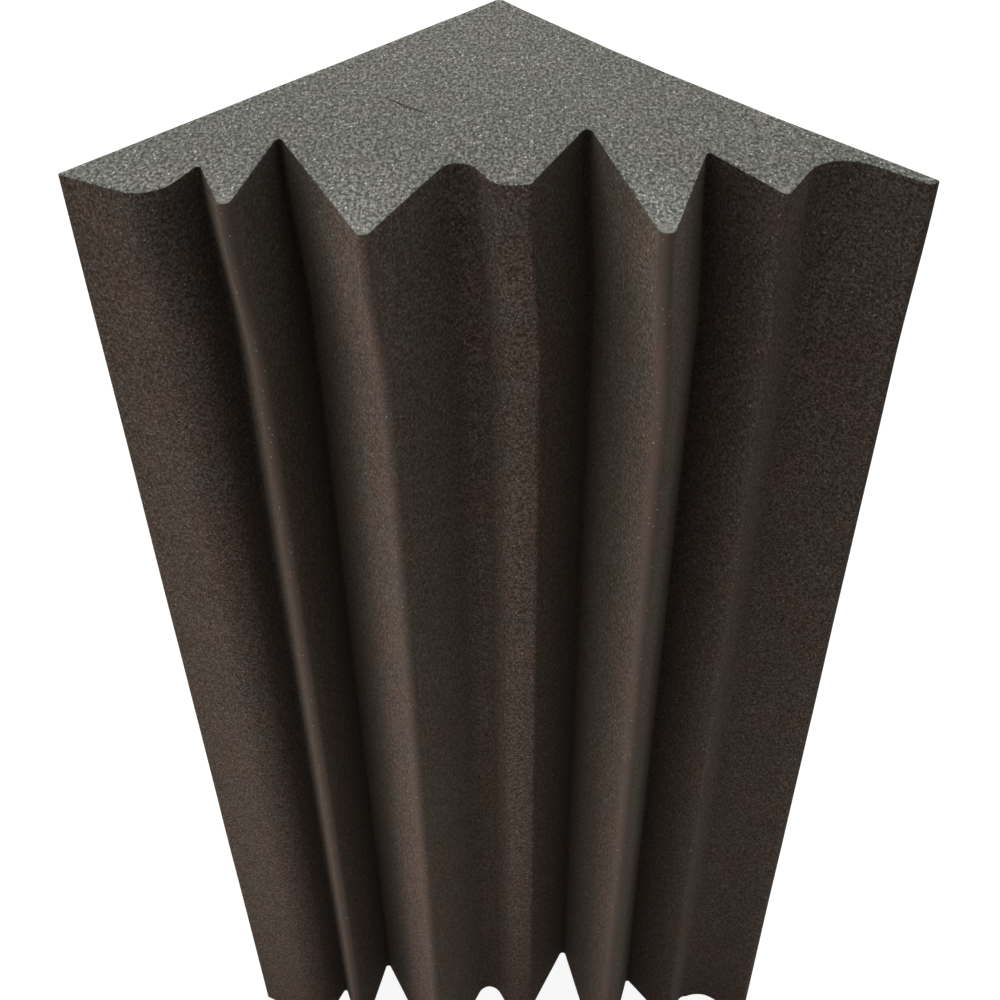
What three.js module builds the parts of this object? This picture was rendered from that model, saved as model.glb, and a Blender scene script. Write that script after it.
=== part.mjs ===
// Corner bass trap: one block of soft foam that stands in the corner of a room. Two flat faces lie on
// the walls, both ends are cut square, and the front is cut by a shaped wire into uneven ridges and
// grooves that run the whole height. Millimetres and degrees, +Z up, front toward -Y. The origin lies
// under the middle of the block.

import * as THREE from 'three';

// The block
const height = 820;
const wallWidth = 300; // of each wall face, from the back corner to its front edge
const roomCorner = 90; // the angle between the two walls
const backRound = 4; // the edge that goes deepest into the room's corner
const leftEdgeRound = 1;
const rightEdgeRound = 1.2; // a thin feather edge

// The front cut, measured before its turns are rounded
const ridgeHeight = 62; // the tallest ridge, out from the line between the two front edges
const grooveDepth = 53; // the deepest groove, in from that line
const ridgeRound = 4;
const smallRidgeRound = 2.6;
const grooveRound = 2.4;
const smallGrooveRound = 1.7;
const humpRound = 25; // the broad ridge beside the left edge
const hollowRound = 22; // the broad hollow beside the right edge
const bowlRound = 10.5; // the groove in the middle, left of the low ridge
const shoulderRound = 15; // the low ridge, on its left
const stepRound = 4.2; // the low ridge, on its right
const lipRound = 12; // where the hollow runs out into the feather edge

// The front from left to right. A turn stands at a share of the half width to the left or right of the
// middle, and at a share of the ridge height out, or of the groove depth in when it is negative.
const frontShares = [
  { along: -0.739, out: 0.374, round: humpRound },
  { along: -0.662, out: -0.21, round: smallGrooveRound },
  { along: -0.561, out: 0.571, round: ridgeRound },
  { along: -0.496, out: -0.77, round: grooveRound },
  { along: -0.24, out: 0.934, round: ridgeRound },
  { along: -0.05, out: -0.451, round: bowlRound },
  { along: 0.043, out: 0.156, round: shoulderRound },
  { along: 0.122, out: 0.115, round: stepRound },
  { along: 0.257, out: -1, round: grooveRound },
  { along: 0.404, out: 1, round: ridgeRound },
  { along: 0.529, out: -0.481, round: smallGrooveRound },
  { along: 0.679, out: 0.277, round: smallRidgeRound },
  { along: 0.809, out: -0.528, round: hollowRound },
  { along: 0.962, out: 0.04, round: lipRound },
];

// A rounding takes no more than this share of a flank together with the one at the flank's other end.
const flankShare = 0.96;
const arcSteps = 5;

const foam = new THREE.MeshStandardMaterial({ color: 0x3b342e, roughness: 1, metalness: 0 });

// Where the rounding of one corner starts and ends, and its centre, if the flanks have room for it.
function wantedTurn(corner, before, after) {
  const back = before.at.clone().sub(corner.at);
  const ahead = after.at.clone().sub(corner.at);
  const halfAngle = Math.acos(back.dot(ahead) / (back.length() * ahead.length())) / 2;
  return {
    at: corner.at,
    round: corner.round,
    flank: ahead.length(),
    reach: corner.round / Math.tan(halfAngle),
    back: back.normalize(),
    ahead: ahead.normalize(),
    hollow: back.cross(ahead) > 0,
  };
}

// A closed outline through the corners, counter-clockwise, with each corner rounded by an arc that
// touches both of its flanks. On a flank too short for its two roundings, both give way alike.
function roundedOutline(corners) {
  const around = (list, i) => list[(i + list.length) % list.length];
  const turns = corners.map((corner, i) => wantedTurn(corner, around(corners, i - 1), around(corners, i + 1)));
  const room = turns.map((turn, i) => flankShare * turn.flank / (turn.reach + around(turns, i + 1).reach));
  const outline = new THREE.Shape();
  turns.forEach((turn, i) => {
    const fit = Math.min(1, room[i], around(room, i - 1));
    const start = turn.at.clone().addScaledVector(turn.back, turn.reach * fit);
    const end = turn.at.clone().addScaledVector(turn.ahead, turn.reach * fit);
    const middle = turn.back.clone().add(turn.ahead).normalize();
    const centre = turn.at.clone().addScaledVector(middle, Math.hypot(turn.reach, turn.round) * fit);
    const startAngle = start.clone().sub(centre).angle();
    const endAngle = end.clone().sub(centre).angle();
    outline.absarc(centre.x, centre.y, turn.round * fit, startAngle, endAngle, turn.hollow);
  });
  outline.closePath();
  return outline;
}

// The plan of the block: the cut front, then the right front edge, the back corner and the left one.
function blockPlan() {
  const halfCorner = THREE.MathUtils.degToRad(roomCorner / 2);
  const halfWidth = wallWidth * Math.sin(halfCorner);
  const wallDepth = wallWidth * Math.cos(halfCorner);
  const front = frontShares.map(({ along, out, round }) => {
    const rise = out * (out > 0 ? ridgeHeight : grooveDepth);
    return { at: new THREE.Vector2(along * halfWidth, -rise), round };
  });
  return roundedOutline([
    { at: new THREE.Vector2(-halfWidth, 0), round: leftEdgeRound },
    ...front,
    { at: new THREE.Vector2(halfWidth, 0), round: rightEdgeRound },
    { at: new THREE.Vector2(0, wallDepth), round: backRound },
  ]);
}

function foamBlock() {
  const shape = new THREE.ExtrudeGeometry(blockPlan(), {
    depth: height,
    curveSegments: arcSteps,
    bevelEnabled: false,
  });
  shape.computeBoundingBox();
  const middle = shape.boundingBox.getCenter(new THREE.Vector3());
  shape.translate(-middle.x, -middle.y, 0);
  const block = new THREE.Mesh(shape, foam);
  block.name = 'foam_block';
  return block;
}

const group = new THREE.Group();
group.add(foamBlock());

export default group;
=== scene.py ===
# Corner bass trap: one block of charcoal foam, cut with a wire. Its front has uneven ridges and grooves.
# Metres, +Z up, front toward -Y.
import math
import random

import bmesh
import bpy
import numpy as np
from mathutils import Matrix, Vector
from mathutils.geometry import delaunay_2d_cdt


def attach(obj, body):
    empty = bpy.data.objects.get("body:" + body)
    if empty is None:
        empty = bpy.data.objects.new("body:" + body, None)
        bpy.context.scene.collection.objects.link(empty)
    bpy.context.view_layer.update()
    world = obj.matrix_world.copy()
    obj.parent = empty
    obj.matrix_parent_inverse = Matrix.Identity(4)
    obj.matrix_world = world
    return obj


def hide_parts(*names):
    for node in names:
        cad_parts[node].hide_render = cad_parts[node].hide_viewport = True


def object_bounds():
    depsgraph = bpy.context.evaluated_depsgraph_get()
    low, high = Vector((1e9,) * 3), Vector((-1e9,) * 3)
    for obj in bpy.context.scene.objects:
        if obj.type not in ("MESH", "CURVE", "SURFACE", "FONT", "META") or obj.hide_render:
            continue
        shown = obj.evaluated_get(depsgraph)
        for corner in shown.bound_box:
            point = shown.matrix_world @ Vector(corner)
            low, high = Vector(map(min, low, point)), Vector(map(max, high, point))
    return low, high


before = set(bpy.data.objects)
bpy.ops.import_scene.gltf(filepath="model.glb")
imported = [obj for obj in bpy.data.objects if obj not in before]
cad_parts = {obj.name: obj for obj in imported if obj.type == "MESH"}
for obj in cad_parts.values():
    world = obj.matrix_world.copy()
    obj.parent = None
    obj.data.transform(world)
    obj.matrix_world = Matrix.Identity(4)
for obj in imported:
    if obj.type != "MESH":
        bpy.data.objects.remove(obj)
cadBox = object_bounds()
mm = 0.001
print("frame loaded")


def addNode(tree, kind, inputs=None, **settings):
    node = tree.nodes.new(kind)
    for name, value in settings.items():
        setattr(node, name, value)
    for key, value in (inputs or {}).items():
        if isinstance(value, bpy.types.NodeSocket):
            tree.links.new(value, node.inputs[key])
        else:
            node.inputs[key].default_value = value
    return node


def addMath(tree, operation, *values, **settings):
    inputs = dict(enumerate(values))
    return addNode(tree, "ShaderNodeMath", inputs, operation=operation, **settings).outputs[0]


def addVectorMath(tree, operation, *values):
    return addNode(tree, "ShaderNodeVectorMath", dict(enumerate(values)), operation=operation).outputs[0]


def addScaled(tree, vector, factor):
    return addNode(tree, "ShaderNodeVectorMath", {0: vector, "Scale": factor}, operation="SCALE").outputs[0]


def addColourMix(tree, share, first, second):
    return addNode(tree, "ShaderNodeMix", {0: share, 6: first, 7: second}, data_type="RGBA").outputs[2]


def addSockets(tree, direction, kinds):
    for name, kind in kinds.items():
        tree.interface.new_socket(name, in_out=direction, socket_type="NodeSocket" + kind)


# A noise runs from 0 to 1, so twice its distance from the middle runs from -1 to 1
noiseMiddle = 0.5
noiseGain = 2.0

# The camera stands where the photo was taken from
view = {
    "place": (21.3 * mm, -667 * mm, 1148.8 * mm),
    "turn": 1.768,  # degrees to the left of straight ahead
    "down": 42.594,
    "roll": -0.717,
    "lens": 48.89,  # mm, on a sensor 36 mm wide
    "sensor": 36,
}


def makeCamera(v):
    camera = bpy.data.objects.new("photoCamera", bpy.data.cameras.new("photoCamera"))
    camera.data.sensor_width = v["sensor"]
    camera.data.lens = v["lens"]
    camera.matrix_world = (
        Matrix.Translation(v["place"])
        @ Matrix.Rotation(math.radians(v["turn"]), 4, "Z")
        @ Matrix.Rotation(math.radians(90 - v["down"]), 4, "X")
        @ Matrix.Rotation(math.radians(v["roll"]), 4, "Z")
    )
    bpy.context.scene.collection.objects.link(camera)
    bpy.context.scene.camera = camera


makeCamera(view)
print("camera placed")

# The foam's open cells. Both ends are cut with a blade, which leaves the cells more open than the wire;
# the ends' lighter colour is partly that and partly painted light, as the light falls most on the top end.
endFoam = {
    "name": "bladeCutFoam",
    "cell": 1.3 * mm,
    "pore": (0.062, 0.062, 0.058, 1),
    "strut": (0.44, 0.44, 0.414, 1),
    # A painted glint: the colour of the few bright specks, and the share of cells that get one
    "glint": (0.85, 0.85, 0.83, 1),
    "glintShare": 0.03,
    "warm": (1.03, 0.99, 0.98, 1),
    "cool": (0.98, 1.01, 1.01, 1),
    "patch": 0.08,
    # Painted light and shade: thin crests lighter, narrow grooves darker, the low ridge lighter, and the
    # front lighter where it stands out, between the two depths that follow
    "crestLight": 0.2,
    "grooveShade": 0,
    "paintedLowRidgeGain": 0,
    "paintedFrontLight": 0.5,
    "paintedFrontFrom": -65 * mm,
    "paintedFrontTo": -130 * mm,
    "relief": 0.25 * mm,
    "sheen": 0.25,
    "sheenTint": (1, 1, 0.95, 1),
}
wireFoam = {
    "name": "wireCutFoam",
    "cell": 1.15 * mm,
    "pore": (0.074, 0.054, 0.04, 1),
    "strut": (0.307, 0.273, 0.239, 1),
    # A painted glint: the colour of the few bright specks, and the share of cells that get one
    "glint": (0.6, 0.58, 0.55, 1),
    "glintShare": 0.03,
    "warm": (1.06, 0.99, 0.95, 1),
    "cool": (0.96, 1.01, 1.03, 1),
    "patch": 0.12,
    # Painted light and shade: thin crests lighter, narrow grooves darker, the low ridge lighter, and the
    # front lighter where it stands out, between the two depths that follow
    "crestLight": 0.2,
    "grooveShade": 1.25,
    "paintedLowRidgeGain": 0.45,
    "paintedFrontLight": 0.55,
    "paintedFrontFrom": -78 * mm,
    "paintedFrontTo": -125 * mm,
    "relief": 0.03 * mm,
    "sheen": 0.07,
    "sheenTint": (1, 0.87, 0.64, 1),
}

# What both cuts share. Distances from the middle of a cell are shares of its size.
grain = {
    "stretch": (1.0, 0.6, 0.85),  # below 1 the cells are longer that way, as foam rises front to back
    "tipFrom": 0.6,
    "tipTo": 0.1,
    "tipRarity": 3.0,  # the higher, the fewer strut ends stand out
    "tipGain": 1.6,
    "fineScale": 0.8,  # of the unevenness between the strut ends, to the cells
    "fineGain": 2.2,
    "fineBase": -0.85,
    "wornGain": 1.5,
    "wornLevel": 0.32,  # between pore and strut, along the thin crests
    "glintScale": 0.9,
    "glintFrom": 0.42,
    "glintTo": 0.2,
    "patchScale": 38.0,  # patches in a metre
    "warmBelow": 0.35,
    "coolAbove": 0.65,
}


def makeCellGroup(g):
    group = bpy.data.node_groups.new("openCells", "ShaderNodeTree")
    addSockets(group, "INPUT", {
        "Cell Size": "Float", "Pore": "Color", "Strut": "Color", "Glint": "Color", "Glint Share": "Float",
        "Warm": "Color", "Cool": "Color", "Patch": "Float", "Crest Light": "Float",
        "Groove Shade": "Float", "Painted Low Ridge Gain": "Float", "Fade": "Float", "Painted Front From": "Float",
        "Painted Front To": "Float",
    })
    addSockets(group, "OUTPUT", {"Color": "Color", "Height": "Float"})
    given = addNode(group, "NodeGroupInput").outputs
    place = addNode(group, "ShaderNodeTexCoord").outputs["Object"]
    rise = addVectorMath(group, "MULTIPLY", place, g["stretch"])
    perMetre = addMath(group, "DIVIDE", 1.0, given["Cell Size"])

    def tips(scale, start, end):
        inputs = {"Vector": rise, "Scale": scale}
        cells = addNode(group, "ShaderNodeTexVoronoi", inputs, feature="F1").outputs
        tip = addNode(group, "ShaderNodeMapRange", {
            "Value": cells["Distance"], "From Min": start, "From Max": end,
        }, interpolation_type="SMOOTHSTEP").outputs["Result"]
        return tip, addNode(group, "ShaderNodeSeparateColor", {"Color": cells["Color"]}).outputs["Red"]

    def mark(name):
        stored = addNode(group, "ShaderNodeAttribute", attribute_type="GEOMETRY", attribute_name=name)
        return stored.outputs["Fac"]

    # The cut leaves strut ends that stand out unevenly from the dark pores, less so along the thin crests
    tip, own = tips(perMetre, g["tipFrom"], g["tipTo"])
    standing = addMath(group, "MULTIPLY", tip, addMath(group, "POWER", own, g["tipRarity"]))
    fine = addNode(group, "ShaderNodeTexNoise", {
        "Vector": rise, "Scale": addMath(group, "MULTIPLY", perMetre, g["fineScale"]), "Detail": 2.0,
    }).outputs["Fac"]
    level = addMath(group, "MULTIPLY_ADD", fine, g["fineGain"], g["fineBase"])
    level = addMath(group, "MULTIPLY_ADD", standing, g["tipGain"], level, use_clamp=True)
    worn = addMath(group, "MULTIPLY", mark("crest"), g["wornGain"], use_clamp=True)
    level = addNode(group, "ShaderNodeMix", {0: worn, 2: level, 3: g["wornLevel"]}).outputs[0]
    foam = addColourMix(group, level, given["Pore"], given["Strut"])

    # Painted glints: a few cells are painted bright, as where struts would catch the light
    glintCells = addMath(group, "MULTIPLY", perMetre, g["glintScale"])
    spot, chance = tips(glintCells, g["glintFrom"], g["glintTo"])
    chosen = addMath(group, "LESS_THAN", chance, given["Glint Share"])
    lit = addColourMix(group, addMath(group, "MULTIPLY", chosen, spot), foam, given["Glint"])

    # Soft patches, a little lighter or darker and warmer or cooler
    patches = addNode(group, "ShaderNodeTexNoise", {
        "Vector": place, "Scale": g["patchScale"], "Detail": 2.0,
    }).outputs
    drift = addMath(group, "SUBTRACT", patches["Fac"], noiseMiddle)
    shade = addMath(group, "MULTIPLY", drift, given["Patch"])
    shade = addMath(group, "MULTIPLY_ADD", shade, noiseGain, 1.0)
    hue = addNode(group, "ShaderNodeSeparateColor", {"Color": patches["Color"]}).outputs["Blue"]
    coolShare = addNode(group, "ShaderNodeMapRange", {
        "Value": hue, "From Min": g["warmBelow"], "From Max": g["coolAbove"],
    }).outputs["Result"]
    tint = addColourMix(group, coolShare, given["Warm"], given["Cool"])

    # Painted light: the front is painted lighter where it stands out, and the grooves are left darker
    ahead = addNode(group, "ShaderNodeSeparateXYZ", {"Vector": place}).outputs["Y"]
    frontLit = addNode(group, "ShaderNodeMapRange", {
        "Value": ahead, "From Min": given["Painted Front From"], "From Max": given["Painted Front To"],
        "To Max": given["Fade"],
    }).outputs["Result"]
    shade = addMath(group, "MULTIPLY", shade, addMath(group, "ADD", frontLit, 1.0))

    # Painted light and shade: the thin crests are painted lighter, as if light came through them, the front
    # of the low ridge in the middle is painted lighter, and the foam near the bottom of a narrow groove is
    # painted darker
    paintedLift = addMath(group, "MULTIPLY_ADD", mark("crest"), given["Crest Light"], 1.0)
    paintedLift = addMath(group, "MULTIPLY_ADD", mark("paintedLowRidge"), given["Painted Low Ridge Gain"], paintedLift)
    dark = addMath(group, "MULTIPLY", mark("groove"), given["Groove Shade"])
    shade = addMath(group, "MULTIPLY", shade, addMath(group, "SUBTRACT", paintedLift, dark))
    toned = addVectorMath(group, "MULTIPLY", lit, addScaled(group, tint, shade))
    addNode(group, "NodeGroupOutput", {"Color": toned, "Height": level})
    return group


def makeFoam(cells, f):
    material = bpy.data.materials.new(f["name"])
    material.use_nodes = True
    tree = material.node_tree
    tree.nodes.clear()
    look = addNode(tree, "ShaderNodeGroup", node_tree=cells)
    for name, key in {
        "Cell Size": "cell", "Pore": "pore", "Strut": "strut", "Glint": "glint",
        "Glint Share": "glintShare", "Warm": "warm", "Cool": "cool", "Patch": "patch",
        "Crest Light": "crestLight", "Groove Shade": "grooveShade", "Painted Low Ridge Gain": "paintedLowRidgeGain",
        "Fade": "paintedFrontLight", "Painted Front From": "paintedFrontFrom", "Painted Front To": "paintedFrontTo",
    }.items():
        look.inputs[name].default_value = f[key]
    bump = addNode(tree, "ShaderNodeBump", {
        "Height": look.outputs["Height"], "Strength": 0.6, "Distance": f["relief"],
    })
    shader = addNode(tree, "ShaderNodeBsdfPrincipled", {
        "Base Color": look.outputs["Color"], "Normal": bump.outputs["Normal"], "Roughness": 0.95,
        "Specular IOR Level": 0.2, "Sheen Weight": f["sheen"], "Sheen Roughness": 0.6,
        "Sheen Tint": f["sheenTint"],
    })
    addNode(tree, "ShaderNodeOutputMaterial", {"Surface": shader.outputs["BSDF"]})
    return material


cells = makeCellGroup(grain)
bladeCut = makeFoam(cells, endFoam)
wireCut = makeFoam(cells, wireFoam)
print("foam mixed")

# The plan of the block. Each turn of the front, from the left edge to the right one, is where its two
# flanks meet at the top end: along the front, out from the line between the front edges, and its
# rounding. Then comes how far the wire strays from there: to the right a hand below the top end, to the
# right at the bottom end, and out at the bottom end. All in mm.
plan = {
    "wallWidth": 300 * mm,
    "backRound": 4 * mm,
    "turns": [
        (-211.2, -0.9, 1, 0, 0, 0),
        (-160.1, 23.2, 24.9, 4.8, 3, 0),
        (-143.1, -11.1, 1.7, 5, 2.2, 0.8),
        (-123.8, 35.4, 3.5, 5.4, 1.2, 0),
        (-108.2, -40.8, 1.9, 5.3, 3, 4.8),
        (-56.7, 57.9, 3.7, 5.3, 4.2, 0),
        (-16.2, -23.9, 10.5, 5.2, 3.4, -1.5),
        (3.4, 9.7, 15.1, 5.2, 4, 0),
        (20.1, 7.1, 4.1, 5.2, 4.4, 0),
        (48.8, -52.7, 2.7, 5.2, 5.6, 0),
        (82.7, 62.4, 4.3, 5.2, 3.6, 0),
        (107.4, -25.5, 1.8, 4.2, 3.5, 1.8),
        (141.4, 17.2, 2.5, 2, 4, 0),
        (168.3, -28, 21.7, 0, -4.6, 8),
        (211.2, 7.2, 3, -1.6, -1.8, 0),
        (215.8, 3, 1, -1.6, -1.8, 0),
    ],
    "flankShare": 0.49,  # the most of a flank that one rounding takes
    "arcStep": 1.2 * mm,
    "arcTurn": 15,  # degrees, the most that an arc turns from one point to the next
    "flatStep": 4.5 * mm,
    "rim": 0.55 * mm,  # rounds the edges of both ends
    "rimTurns": (0, 30, 60, 90),  # degrees round the rim, from the side up to the end
    "endStep": 6 * mm,  # between the points inside the ends, and the next three are shares of it
    "rowShare": 0.866,
    "drawShare": 0.15,  # the most that a point is drawn aside
    "edgeShare": 0.6,  # no point lies nearer to the edge
    "seed": 4,
}
backX = 0.1 * mm
backY = cadBox[1][1] + (math.sqrt(2) - 1) * plan["backRound"]  # where the two wall faces would meet
frontLine = backY - plan["wallWidth"] / math.sqrt(2)


def onPlan(along, out):
    return Vector((backX + along * mm, frontLine - out * mm))


def spaced(start, end, step):
    count = round((end - start).length / step)
    return [start.lerp(end, i / count) for i in range(1, count)]


def roundTurn(before, at, after, radius, p):
    back = (before - at).normalized()
    ahead = (after - at).normalized()
    half = back.angle(ahead) / 2
    room = p["flankShare"] * min((before - at).length, (after - at).length)
    reach = min(radius / math.tan(half), room)
    radius = reach * math.tan(half)
    centre = at + (back + ahead).normalized() * radius / math.sin(half)
    start = at + back * reach - centre
    sweep = math.copysign(math.pi - 2 * half, back.cross(ahead))
    steps = math.ceil(max(abs(sweep) / math.radians(p["arcTurn"]), radius * abs(sweep) / p["arcStep"]))
    return [centre + Matrix.Rotation(-sweep * i / steps, 2) @ start for i in range(steps + 1)]


def makeOutline(p):
    corners = [onPlan(*turn[:2]) for turn in p["turns"]] + [Vector((backX, backY))]
    rounds = [turn[2] * mm for turn in p["turns"]] + [p["backRound"]]
    outline = []
    for i, corner in enumerate(corners):
        arc = roundTurn(corners[i - 1], corner, corners[(i + 1) % len(corners)], rounds[i], p)
        if outline:
            outline += spaced(outline[-1], arc[0], p["flatStep"])
        outline += arc
    return outline + spaced(outline[-1], outline[0], p["flatStep"])


def inset(outline, depth):
    ring = []
    for i, point in enumerate(outline):
        ahead = (outline[(i + 1) % len(outline)] - outline[i - 1]).normalized()
        ring.append(point + Vector((-ahead.y, ahead.x)) * depth)
    return ring


# A nick of the blade in the top end, its path in mm as the turns are
nick = {
    "path": [
        (-57.2, -82.5), (-51.2, -77.3), (-46.9, -73.1), (-42.8, -70.5), (-38.4, -67.5), (-34.4, -64.7),
    ],
    "halfWidth": 0.9 * mm,
    "depth": 1.2 * mm,
    "taper": 0.5,  # below 1 it is blunter toward its two ends
    "step": 1.2 * mm,
    "clear": 3 * mm,  # no point inside the end lies nearer
}


# Rows across the nick: the middle, both sides, and the depth in the middle
def makeNick(n):
    route = [onPlan(*point) for point in n["path"]]
    middle = [route[0]]
    for a, b in zip(route, route[1:]):
        middle += spaced(a, b, n["step"]) + [b]
    rows = []
    for i, point in enumerate(middle):
        ahead = (middle[min(i + 1, len(middle) - 1)] - middle[max(i - 1, 0)]).normalized()
        side = Vector((-ahead.y, ahead.x)) * n["halfWidth"]
        share = math.sin(math.pi * i / (len(middle) - 1)) ** n["taper"]
        rows.append((point, point + side * share, point - side * share, n["depth"] * share))
    return rows


def toArray(points):
    return np.array([tuple(point) for point in points])


def isInside(points, outline):
    x, y = points[:, 0, None], points[:, 1, None]
    ax, ay = outline.T
    bx, by = np.roll(outline, -1, axis=0).T
    crosses = (ay > y) != (by > y)
    with np.errstate(divide="ignore", invalid="ignore"):
        left = x < ax + (y - ay) * (bx - ax) / (by - ay)
    return (crosses & left).sum(axis=1) % 2 == 1


def nearest(points, others):
    return np.linalg.norm(points[:, None] - others[None], axis=2).min(axis=1)


# Points in staggered rows, drawn aside a little, and none of them near the edge or the nick
def makeEndGrid(edge, nickLine, p):
    draw = random.Random(p["seed"])
    step, rowShare, most = p["endStep"], p["rowShare"], p["drawShare"]
    low, high = edge.min(axis=0), edge.max(axis=0)
    grid = []
    for row in range(int((high[1] - low[1]) / (step * rowShare)) + 1):
        for column in range(int((high[0] - low[0]) / step) + 1):
            grid.append((
                low[0] + (column + (row % 2) / 2 + draw.uniform(-most, most)) * step,
                low[1] + (row * rowShare + draw.uniform(-most, most)) * step,
            ))
    grid = np.array(grid)
    grid = grid[isInside(grid, edge)]
    grid = grid[nearest(grid, edge) > p["edgeShare"] * step]
    return grid[nearest(grid, nickLine) > nick["clear"]]


def store(mesh, name, values):
    mesh.attributes.new(name, "FLOAT", "POINT").data.foreach_set("value", list(values))


# The plan as a mesh: rings round the rim, which the ends lower by their drop, and a triangulated middle
def makePlanMesh(p):
    outline = makeOutline(p)
    turns = [math.radians(turn) for turn in p["rimTurns"]]
    rings = [inset(outline, p["rim"] * (1 - math.cos(turn))) for turn in turns]
    cut = makeNick(nick)
    grid = makeEndGrid(toArray(rings[-1]), toArray(row[0] for row in cut), p)
    points = rings[-1] + [Vector(place) for place in grid]
    deep = [0.0] * len(points)
    rails = []
    for side in range(3):
        rail = []
        for i, row in enumerate(cut):
            if side and i in (0, len(cut) - 1):
                continue  # the sides meet the middle at both ends
            rail.append(len(points))
            points.append(row[side])
            deep.append(0.0 if side else row[3])
        rails += list(zip(rail, rail[1:]))
    count = len(outline)
    border = [(i, (i + 1) % count) for i in range(count)]
    insideOnly, tolerance = 1, 1e-7
    flat, _, faces, origins, _, _ = delaunay_2d_cdt(points, border + rails, [], insideOnly, tolerance)
    deep = [deep[origin[0]] if origin else 0.0 for origin in origins]
    drop = [0.0] * len(flat)
    inner = {origin: i for i, several in enumerate(origins) for origin in several}
    within = [inner[i] for i in range(count)]
    for ring, turn in reversed(list(zip(rings, turns))[:-1]):
        around = list(range(len(flat), len(flat) + count))
        flat += ring
        deep += [0.0] * count
        drop += [p["rim"] * (1 - math.sin(turn))] * count
        faces += [(around[i], around[j], within[j], within[i]) for i, j in border]
        within = around
    mesh = bpy.data.meshes.new("plan")
    mesh.from_pydata([(v.x, v.y, 0) for v in flat], [], faces)
    store(mesh, "nick", deep)
    store(mesh, "drop", drop)
    return mesh


# How the block is cut along its height
cutting = {
    "rowStep": 5 * mm,
    "strayFrom": 8 * mm,  # below the top end
    "strayTo": 105 * mm,
    "wallShare": 0.6,  # of the way back to a wall face, from where on a point strays as that face does
    "rightWallBow": 4.75 * mm,  # the right wall face is a little hollow
    "bowKeeps": 0.35,  # the share of the hollow that is left at the bottom end
    "bowSkew": 0.9,  # below 1 it is deepest on the back corner's side of the middle
    "bowWidth": 60 * mm,  # how far into the block it is felt
    "waveSize": 75 * mm,
    "waveDepth": 0.5 * mm,
    "waveStretch": (1.0, 1.0, 0.5),  # below 1 they are longer that way
    "streakSize": 17 * mm,
    "streakDepth": 0.16 * mm,
    "streakStretch": (1.0, 1.0, 0.04),
    "seed": 7,
    "endFacing": 0.6,  # a face that looks up or down by more than this is part of an end
    "sharpAngle": 35,  # degrees
}
strayNames = ("strayUpper", "strayLower", "outLower", "bowShare")


def smooth(t):
    t = min(1, max(0, t))
    return t * t * (3 - 2 * t)


# How far each point of the plan strays
def storeShares(mesh, c):
    along, _, _, *shifts = zip(*plan["turns"])
    half = plan["wallWidth"] / math.sqrt(2)
    stored = {name: [] for name in strayNames}
    for vertex in mesh.vertices:
        x, y = vertex.co.x - backX, vertex.co.y
        room = max(half - abs(x), 1 * mm)  # from the line between the front edges back to the wall face
        toWall = smooth(((y - frontLine) / room - c["wallShare"]) / (1 - c["wallShare"]))
        towardTip = (backY - y) / half
        for name, shift in zip(stored, shifts):
            wall = shift[-1 if x > 0 else 0] * towardTip
            front = float(np.interp(x / mm, along, shift))
            stored[name].append(mm * (front * (1 - toWall) + wall * toWall))
        alongWall = min(1, max(0, (x + backY - y) / (2 * half)))
        inward = (backY - y - x) / math.sqrt(2)
        hollow = math.sin(math.pi * alongWall ** c["bowSkew"])
        stored["bowShare"].append(hollow * max(0, 1 - inward / c["bowWidth"]))
    for name, values in stored.items():
        store(mesh, name, values)


# These marks steer painted light and shade: thin crests lighter, with calmer grain, and narrow grooves
# darker
# A ridge counts as thin, and a groove as narrow, where its flanks stand at less than widest, in degrees,
# and its rounding isn't above roundest
turnMarks = {
    "crest": {"reach": 25 * mm, "falloff": 3.5, "widest": 85},
    "groove": {"reach": 52 * mm, "falloff": 1.3, "widest": 120},
}
roundest = 5 * mm


# How near each point lies to the tip of a thin ridge or the bottom of a narrow groove, and how sharp
# that turn is
def storeTurnMarks(mesh, marks):
    corners = [onPlan(*turn[:2]) for turn in plan["turns"]]
    shares = {name: [0.0] * len(mesh.vertices) for name in marks}
    for turn, before, at, after in zip(plan["turns"][1:], corners, corners[1:], corners[2:]):
        name = "crest" if (before - at).cross(after - at) < 0 else "groove"
        m = marks[name]
        angle = math.degrees((before - at).angle(after - at))
        if turn[2] * mm > roundest or angle > m["widest"]:
            continue
        away = [(vertex.co.xy - at).length for vertex in mesh.vertices]
        tip = min(away)  # the rounding keeps the tip off the corner
        close = [max(0, 1 - (distance - tip) / m["reach"]) for distance in away]
        sharp = 1 - angle / m["widest"]
        shares[name] = [max(old, sharp * share ** m["falloff"]) for old, share in zip(shares[name], close)]
    for name, values in shares.items():
        store(mesh, name, values)


# The front of the low ridge, which is painted lighter
paintedLowRidge = {
    "from": -5 * mm,  # along the front, from the middle of the block
    "to": 19.5 * mm,
    "edge": 5 * mm,  # over which it fades in and out
    "deep": 15 * mm,  # in from the line between the front edges
}


def storePaintedLowRidge(mesh, r):
    values = []
    for vertex in mesh.vertices:
        x = vertex.co.x - backX
        share = smooth(0.5 + (x - r["from"]) / r["edge"]) * smooth(0.5 + (r["to"] - x) / r["edge"])
        values.append(share if vertex.co.y < frontLine + r["deep"] else 0.0)
    store(mesh, "paintedLowRidge", values)


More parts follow.
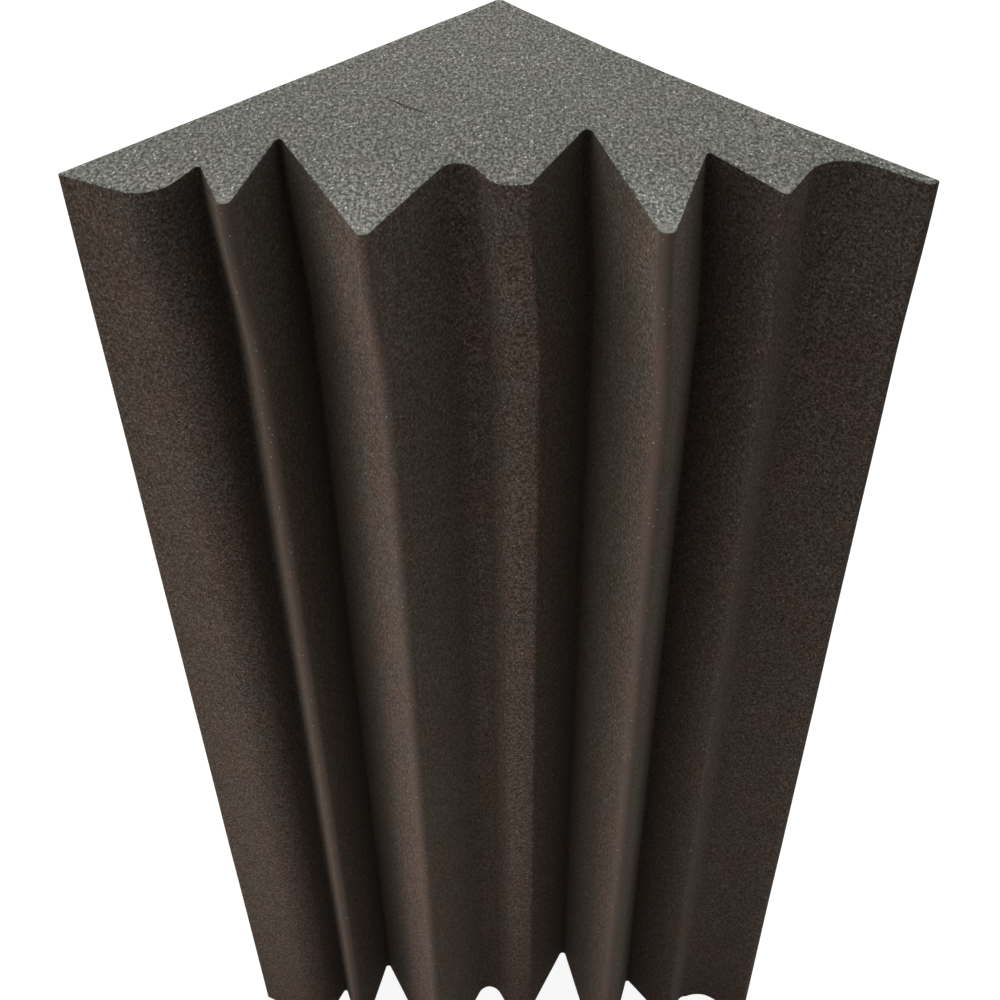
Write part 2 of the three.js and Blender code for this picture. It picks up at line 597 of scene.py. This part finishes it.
def makeCutTree(c):
    tree = bpy.data.node_groups.new("wireCutBlock", "GeometryNodeTree")
    addSockets(tree, "INPUT", {
        "Plan": "Geometry", "Height": "Float", "Row Step": "Float", "Stray From": "Float",
        "Stray To": "Float", "Wall Bow": "Float", "Bow Keeps": "Float", "Wave Size": "Float",
        "Wave Depth": "Float", "Streak Size": "Float", "Streak Depth": "Float", "Seed": "Float",
        "Sides": "Material", "Ends": "Material",
    })
    addSockets(tree, "OUTPUT", {"Block": "Geometry"})
    given = addNode(tree, "NodeGroupInput").outputs
    same = 0.02 * mm  # points nearer than this are one
    close = 0.01 * mm  # to the level of an end
    turned = -1.0  # out is toward -Y, and deep is toward -Z

    def named(name):
        node = addNode(tree, "GeometryNodeInputNamedAttribute", {"Name": name}, data_type="FLOAT")
        return node.outputs["Attribute"]

    # The outline sweeps up from the bottom end, and both ends close it
    border = addNode(tree, "GeometryNodeInputMeshEdgeNeighbors").outputs["Face Count"]
    isBorder = addNode(tree, "FunctionNodeCompare", {2: border, 3: 1}, data_type="INT", operation="EQUAL")
    outline = addNode(tree, "GeometryNodeMeshToCurve", {
        "Mesh": given["Plan"], "Selection": isBorder.outputs[0],
    })
    top = addNode(tree, "ShaderNodeCombineXYZ", {"Z": given["Height"]}).outputs[0]
    path = addNode(tree, "GeometryNodeCurvePrimitiveLine", {"End": top})
    steps = addMath(tree, "ROUND", addMath(tree, "DIVIDE", given["Height"], given["Row Step"]))
    rows = addMath(tree, "ADD", steps, 1.0)
    path = addNode(tree, "GeometryNodeResampleCurve", {"Curve": path.outputs["Curve"], "Count": rows})
    sides = addNode(tree, "GeometryNodeCurveToMesh", {
        "Curve": path.outputs["Curve"], "Profile Curve": outline.outputs["Curve"],
    })
    topEnd = addNode(tree, "GeometryNodeTransform", {"Geometry": given["Plan"], "Translation": top})
    bottomEnd = addNode(tree, "GeometryNodeFlipFaces", {"Mesh": given["Plan"]})
    whole = addNode(tree, "GeometryNodeJoinGeometry")
    for part in (sides, topEnd, bottomEnd):
        tree.links.new(part.outputs[0], whole.inputs[0])
    closed = addNode(tree, "GeometryNodeMergeByDistance", {"Geometry": whole.outputs[0], "Distance": same})

    # The wire's stray, the hollow of the right wall face and the rounded edges of the ends
    place = addNode(tree, "GeometryNodeInputPosition").outputs[0]
    parts = addNode(tree, "ShaderNodeSeparateXYZ", {"Vector": place}).outputs
    below = addMath(tree, "SUBTRACT", given["Height"], parts["Z"])
    belowShare = addMath(tree, "DIVIDE", below, given["Height"])
    strayed = addNode(tree, "ShaderNodeMapRange", {
        "Value": below, "From Min": given["Stray From"], "From Max": given["Stray To"],
    }, interpolation_type="SMOOTHSTEP").outputs["Result"]
    upper = addMath(tree, "MULTIPLY", strayed, named("strayUpper"))
    further = addMath(tree, "SUBTRACT", named("strayLower"), named("strayUpper"))
    aside = addMath(tree, "ADD", upper, addMath(tree, "MULTIPLY", belowShare, further))
    outward = addMath(tree, "MULTIPLY", addMath(tree, "MULTIPLY", belowShare, named("outLower")), turned)
    kept = addNode(tree, "ShaderNodeMapRange", {
        "Value": belowShare, "To Min": 1.0, "To Max": given["Bow Keeps"],
    }).outputs["Result"]
    bow = addMath(tree, "MULTIPLY", addMath(tree, "MULTIPLY", kept, named("bowShare")), given["Wall Bow"])
    bow = addMath(tree, "MULTIPLY", bow, -math.sqrt(0.5))  # the face looks right and back alike
    atBottom = addMath(tree, "LESS_THAN", parts["Z"], close)
    atTop = addMath(tree, "LESS_THAN", below, close)
    lift = addMath(tree, "MULTIPLY", named("drop"), addMath(tree, "SUBTRACT", atBottom, atTop))
    offset = addNode(tree, "ShaderNodeCombineXYZ", {
        "X": addMath(tree, "ADD", aside, bow), "Y": addMath(tree, "ADD", outward, bow), "Z": lift,
    }).outputs[0]
    cut = addNode(tree, "GeometryNodeSetPosition", {"Geometry": closed.outputs[0], "Offset": offset})

    # Slow waves all over, and streaks along the wire
    def ripple(size, depth, stretch):
        scaled = addVectorMath(tree, "MULTIPLY", place, stretch)
        noise = addNode(tree, "ShaderNodeTexNoise", {
            "Vector": scaled, "W": given["Seed"], "Scale": addMath(tree, "DIVIDE", 1.0, size),
            "Detail": 1.0,
        }, noise_dimensions="4D").outputs["Color"]
        centred = addVectorMath(tree, "SUBTRACT", noise, (noiseMiddle, noiseMiddle, noiseMiddle))
        return addScaled(tree, centred, addMath(tree, "MULTIPLY", depth, noiseGain))

    waves = ripple(given["Wave Size"], given["Wave Depth"], c["waveStretch"])
    streaks = ripple(given["Streak Size"], given["Streak Depth"], c["streakStretch"])
    both = addVectorMath(tree, "ADD", waves, streaks)
    level = addMath(tree, "DIVIDE", parts["Z"], given["Height"])  # the bottom end stays plane
    upright = addNode(tree, "ShaderNodeCombineXYZ", {"X": 1.0, "Y": 1.0, "Z": level}).outputs[0]
    uneven = addVectorMath(tree, "MULTIPLY", both, upright)
    rippled = addNode(tree, "GeometryNodeSetPosition", {"Geometry": cut.outputs[0], "Offset": uneven})

    # The nick, in the top end alone
    down = addMath(tree, "MULTIPLY", named("nick"), turned)
    down = addNode(tree, "ShaderNodeCombineXYZ", {"Z": down}).outputs[0]
    isTop = addNode(tree, "FunctionNodeCompare", {
        0: parts["Z"], 1: addMath(tree, "MULTIPLY", given["Height"], 0.5),
    }, data_type="FLOAT", operation="GREATER_THAN").outputs[0]
    nicked = addNode(tree, "GeometryNodeSetPosition", {
        "Geometry": rippled.outputs[0], "Selection": isTop, "Offset": down,
    })

    real = addNode(tree, "GeometryNodeRealizeInstances", {"Geometry": nicked.outputs[0]})
    sided = addNode(tree, "GeometryNodeSetMaterial", {
        "Geometry": real.outputs[0], "Material": given["Sides"],
    })
    normal = addNode(tree, "GeometryNodeInputNormal").outputs[0]
    facing = addNode(tree, "ShaderNodeSeparateXYZ", {"Vector": normal}).outputs["Z"]
    isEnd = addNode(tree, "FunctionNodeCompare", {
        0: addMath(tree, "ABSOLUTE", facing), 1: c["endFacing"],
    }, data_type="FLOAT", operation="GREATER_THAN").outputs[0]
    ended = addNode(tree, "GeometryNodeSetMaterial", {
        "Geometry": sided.outputs[0], "Selection": isEnd, "Material": given["Ends"],
    })
    addNode(tree, "NodeGroupOutput", {"Block": ended.outputs[0]})
    return tree


def setInputs(modifier, values):
    for item in modifier.node_group.interface.items_tree:
        if item.item_type == "SOCKET" and item.in_out == "INPUT" and item.name in values:
            modifier[item.identifier] = values[item.name]


def cutBlock(c):
    mesh = makePlanMesh(plan)
    storeShares(mesh, c)
    storeTurnMarks(mesh, turnMarks)
    storePaintedLowRidge(mesh, paintedLowRidge)
    mesh.materials.append(wireCut)
    mesh.materials.append(bladeCut)
    blank = bpy.data.objects.new("blank", mesh)
    bpy.context.scene.collection.objects.link(blank)
    sweep = blank.modifiers.new("wireCut", "NODES")
    sweep.node_group = makeCutTree(c)
    setInputs(sweep, {
        "Height": cadBox[1][2], "Row Step": c["rowStep"], "Stray From": c["strayFrom"],
        "Stray To": c["strayTo"], "Wall Bow": c["rightWallBow"], "Bow Keeps": c["bowKeeps"],
        "Wave Size": c["waveSize"], "Wave Depth": c["waveDepth"], "Streak Size": c["streakSize"],
        "Streak Depth": c["streakDepth"], "Seed": float(c["seed"]), "Sides": wireCut, "Ends": bladeCut,
    })
    whole = bpy.data.meshes.new_from_object(blank.evaluated_get(bpy.context.evaluated_depsgraph_get()))
    bpy.data.objects.remove(blank)
    return whole


def finishBlock(mesh, c):
    work = bmesh.new()
    work.from_mesh(mesh)
    bmesh.ops.recalc_face_normals(work, faces=work.faces)
    work.to_mesh(mesh)
    work.free()
    for name in (*strayNames, "nick", "drop"):
        mesh.attributes.remove(mesh.attributes[name])
    for i in reversed(range(len(mesh.materials))):
        if mesh.materials[i] is None:  # the sweep leaves an empty slot
            mesh.materials.pop(index=i)
    mesh.shade_smooth()
    mesh.set_sharp_from_angle(angle=math.radians(c["sharpAngle"]))
    block = bpy.data.objects.new("cutFoamBlock", mesh)
    bpy.context.scene.collection.objects.link(block)
    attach(block, "root")
    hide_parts("foam_block")
    return block


block = finishBlock(cutBlock(cutting), cutting)
print("block cut:", len(block.data.vertices), "points,", len(block.data.polygons), "faces")

# A pale floor that the camera sees as white, with the block's shadow kept
ground = {
    "size": 12,
    "paint": (0.5, 0.49, 0.48, 1),
    "seenPaint": (0.25, 0.25, 0.25, 1),
    "glow": 0.92,  # near the block, where 1 is white
    "glowFrom": 0.6,  # from here outward it rises
    "whiteFrom": 2.2,
}


def showRays(tree):
    path = addNode(tree, "ShaderNodeLightPath").outputs
    seen = addMath(tree, "MAXIMUM", path["Is Camera Ray"], path["Is Glossy Ray"])
    return addMath(tree, "MAXIMUM", seen, path["Is Transmission Ray"])


def makeFloor(g):
    half = g["size"] / 2
    corners = [(-half, -half, 0), (half, -half, 0), (half, half, 0), (-half, half, 0)]
    mesh = bpy.data.meshes.new("floor")
    mesh.from_pydata(corners, [], [(0, 1, 2, 3)])
    floor = bpy.data.objects.new("floor", mesh)
    bpy.context.scene.collection.objects.link(floor)
    material = bpy.data.materials.new("paleFloor")
    material.use_nodes = True
    tree = material.node_tree
    tree.nodes.clear()
    seen = showRays(tree)
    paint = addColourMix(tree, seen, g["paint"], g["seenPaint"])
    diffuse = addNode(tree, "ShaderNodeBsdfDiffuse", {"Color": paint})
    place = addNode(tree, "ShaderNodeTexCoord").outputs["Object"]
    away = addNode(tree, "ShaderNodeVectorMath", {0: place}, operation="LENGTH").outputs["Value"]
    glow = addNode(tree, "ShaderNodeMapRange", {
        "Value": away, "From Min": g["glowFrom"], "From Max": g["whiteFrom"], "To Min": g["glow"],
        "To Max": 1.0,
    }).outputs["Result"]
    emission = addNode(tree, "ShaderNodeEmission", {"Strength": addMath(tree, "MULTIPLY", glow, seen)})
    both = addNode(tree, "ShaderNodeAddShader", {0: diffuse.outputs[0], 1: emission.outputs[0]})
    addNode(tree, "ShaderNodeOutputMaterial", {"Surface": both.outputs[0]})
    mesh.materials.append(material)


makeFloor(ground)

# Soft studio light: most of it from the ceiling, some from the sides, and a little from near the floor
# in front, as a pale floor throws it back. Places and sizes in metres, the power of red, green and blue
# in watts. A lamp without an aim is turned to the middle of the block.
blockMiddle = (0, 0, 0.45)
lamps = [
    {"name": "ceiling", "place": (0, 0.8, 2.8), "size": 0.9, "power": (8.3, 7.7, 6.5)},
    {"name": "ceilingFront", "place": (0, 0, 2.8), "size": 0.9, "power": (9.7, 10.4, 10.7)},
    {"name": "ceilingBack", "place": (-0.8, 1.6, 2.8), "size": 0.9, "power": (21.5, 19.9, 16.9)},
    {"name": "ceilingLeft", "place": (-0.8, 0, 2.8), "size": 0.9, "power": (3.2, 3.5, 3.8)},
    {"name": "ceilingRight", "place": (0.8, 0.8, 2.8), "size": 0.9, "power": (1.9, 2.1, 2.3)},
    {"name": "leftBack", "place": (-1.73, 1, 2.3), "size": 0.8, "power": (2.4, 2.6, 2.7)},
    {"name": "rightBack", "place": (1.73, 1, 2.3), "size": 0.8, "power": (1.6, 1.7, 1.8)},
    {"name": "leftSide", "place": (-1.93, -0.52, 0.3), "size": 0.8, "power": (4.1, 3.2, 2.85)},
    {"name": "rightSide", "place": (1.73, -1, 0.3), "size": 0.8, "power": (0.4, 0.4, 0.4)},
    {
        "name": "lowFront", "place": (-0.25, -1.3, 0.3), "size": 0.5, "power": (1.25, 0.92, 0.91),
        "aim": (0, 0, 0.1),
    },
    {
        "name": "floorLeft", "place": (-0.7, -0.7, 0.02), "size": 0.7, "power": (1.3, 1.3, 1.3),
        "aim": (-0.7, -0.69, 3),
    },
    {
        "name": "floorFront", "place": (-0.3, -0.9, 0.02), "size": 0.7, "power": (0.8, 0.8, 0.8),
        "aim": (-0.3, -0.89, 3),
    },
]


def addLamp(lamp):
    light = bpy.data.lights.new(lamp["name"], "AREA")
    light.shape = "DISK"
    light.size = lamp["size"]
    light.energy = max(lamp["power"])
    light.color = [part / light.energy for part in lamp["power"]]
    holder = bpy.data.objects.new(lamp["name"], light)
    holder.location = lamp["place"]
    ahead = Vector(lamp.get("aim", blockMiddle)) - Vector(lamp["place"])
    holder.rotation_euler = ahead.to_track_quat("-Z", "Y").to_euler()
    holder.visible_camera = False
    bpy.context.scene.collection.objects.link(holder)


# The world is white to the camera, and throws no light
def makeWorld():
    world = bpy.data.worlds.new("studio")
    bpy.context.scene.world = world
    world.use_nodes = True
    tree = world.node_tree
    tree.nodes.clear()
    sky = addNode(tree, "ShaderNodeBackground", {"Color": (1, 1, 1, 1), "Strength": showRays(tree)})
    addNode(tree, "ShaderNodeOutputWorld", {"Surface": sky.outputs[0]})


for lamp in lamps:
    addLamp(lamp)
makeWorld()
bpy.context.scene.view_settings.view_transform = "Standard"
print("lights set")
